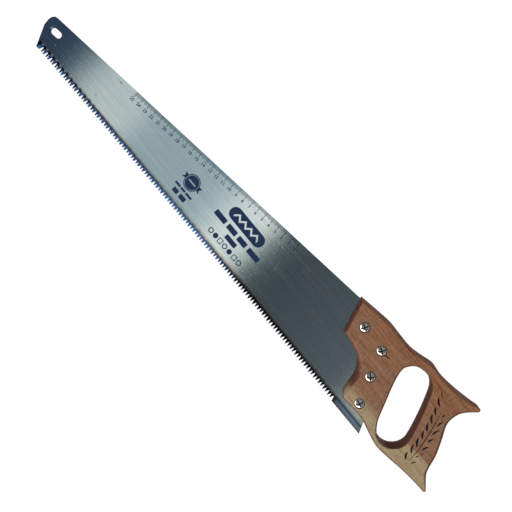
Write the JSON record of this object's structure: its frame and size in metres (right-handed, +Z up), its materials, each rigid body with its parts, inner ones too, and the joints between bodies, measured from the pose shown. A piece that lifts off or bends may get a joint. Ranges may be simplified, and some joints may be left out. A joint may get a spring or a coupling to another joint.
{
  "type": "hand saw",
  "caption": "Hand saw for wood: a tapered toothed steel blade with a hang slot, held by domed screws in the kerf of a carved closed wooden handle.",
  "frame": {"origin": "middle of the bottom of the bounding box, with the saw lying flat on the handle's lower face", "axes": "+X from the toe to the heel along the line of the teeth, +Y from the teeth to the back, +Z up, square to the blade"},
  "size_m": [0.6802, 0.1252, 0.0252],
  "materials": {
    "blade_steel": "satin ground steel, induction hardened dark blue along the teeth",
    "handle_wood": "stained and thinly varnished hardwood with pale sapwood at the lower edge",
    "nickel": "bright nickel plate, lightly worn",
    "ink": "thin navy screen print"
  },
  "bodies": {
    "root": {"blade": "blade_steel", "handle": "handle_wood", "screw_1": "nickel", "screw_2": "nickel", "screw_3": "nickel", "screw_4": "nickel", "nut_1": "nickel", "nut_2": "nickel", "nut_3": "nickel", "nut_4": "nickel"}
  },
  "joints": []
}
